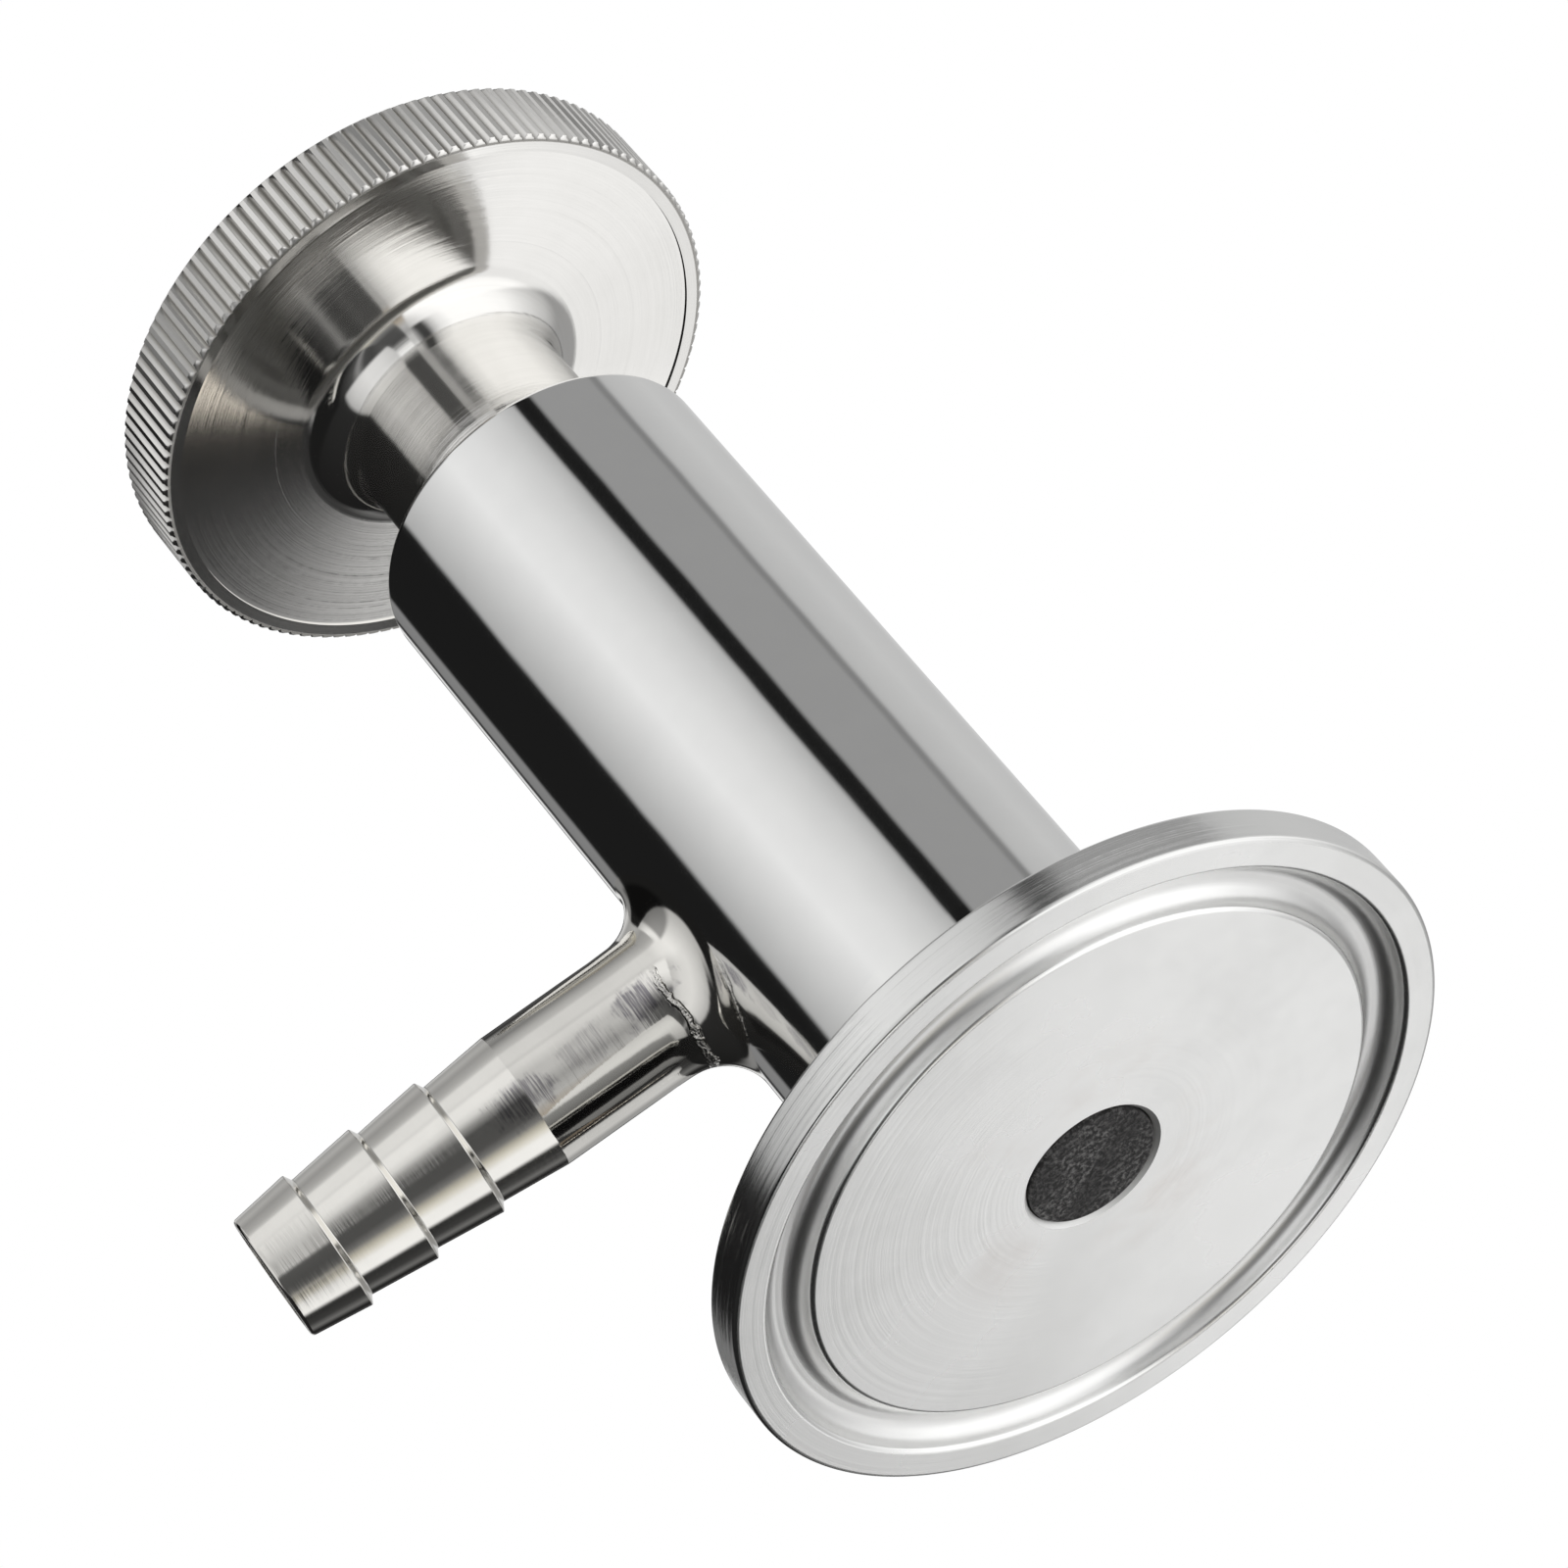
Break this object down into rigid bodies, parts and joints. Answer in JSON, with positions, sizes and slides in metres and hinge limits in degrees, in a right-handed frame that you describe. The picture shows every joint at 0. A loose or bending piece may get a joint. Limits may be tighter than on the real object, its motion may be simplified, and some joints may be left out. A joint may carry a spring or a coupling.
{
  "type": "sanitary sampling valve",
  "caption": "Polished stainless sampling valve with a clamp ferrule, flush rubber plug, knurled handwheel and barbed hose outlet.",
  "frame": {"origin": "centre of the clamp face, on the barrel's axis", "axes": "+X out of the clamp face towards the tank, -X along the barrel to the handwheel, -Z along the hose outlet, which points down in use"},
  "size_m": [0.0872, 0.0506, 0.0692],
  "materials": {
    "polished_steel": "stainless steel, mirror polished",
    "turned_steel": "stainless steel, fine turned, satin",
    "spring_steel": "dark spring steel, satin",
    "bronze": "machined bronze",
    "black_rubber": "matte black rubber",
    "white_ptfe": "white PTFE, smooth"
  },
  "bodies": {
    "valve_body": {"clamp_ferrule": "polished_steel", "barrel_tube": "polished_steel", "hose_barb": "polished_steel", "guide_bush": "white_ptfe", "guide_seal": "black_rubber", "stem_seal_lower": "black_rubber", "stem_seal_upper": "black_rubber", "anti_turn_plate": "turned_steel", "dowel_pins": "turned_steel", "thread_bush": "bronze", "bush_circlip": "spring_steel", "neck_wiper": "black_rubber"},
    "stem_assembly": {"stem_rod": "turned_steel", "plug_seal": "black_rubber", "plug_core": "turned_steel", "lower_thrust_washer": "bronze", "upper_thrust_washer": "bronze", "stem_nut": "turned_steel"},
    "handwheel_assembly": {"handwheel": "turned_steel", "closing_cap": "turned_steel", "cap_seal": "black_rubber"}
  },
  "joints": [
    {"name": "stem_lift", "type": "slide", "parent": "valve_body", "child": "stem_assembly", "axis": [-1, 0, 0], "range_m": [0, 0.005]},
    {"name": "handwheel_turn", "type": "hinge", "parent": "stem_assembly", "child": "handwheel_assembly", "pos_m": [-0.084, 0, 0], "axis": [-1, 0, 0], "range_deg": [0, 900]}
  ],
  "couplings": [
    {"joint": "handwheel_turn", "follows": "stem_lift", "rad_per_m": 3141.6}
  ]
}
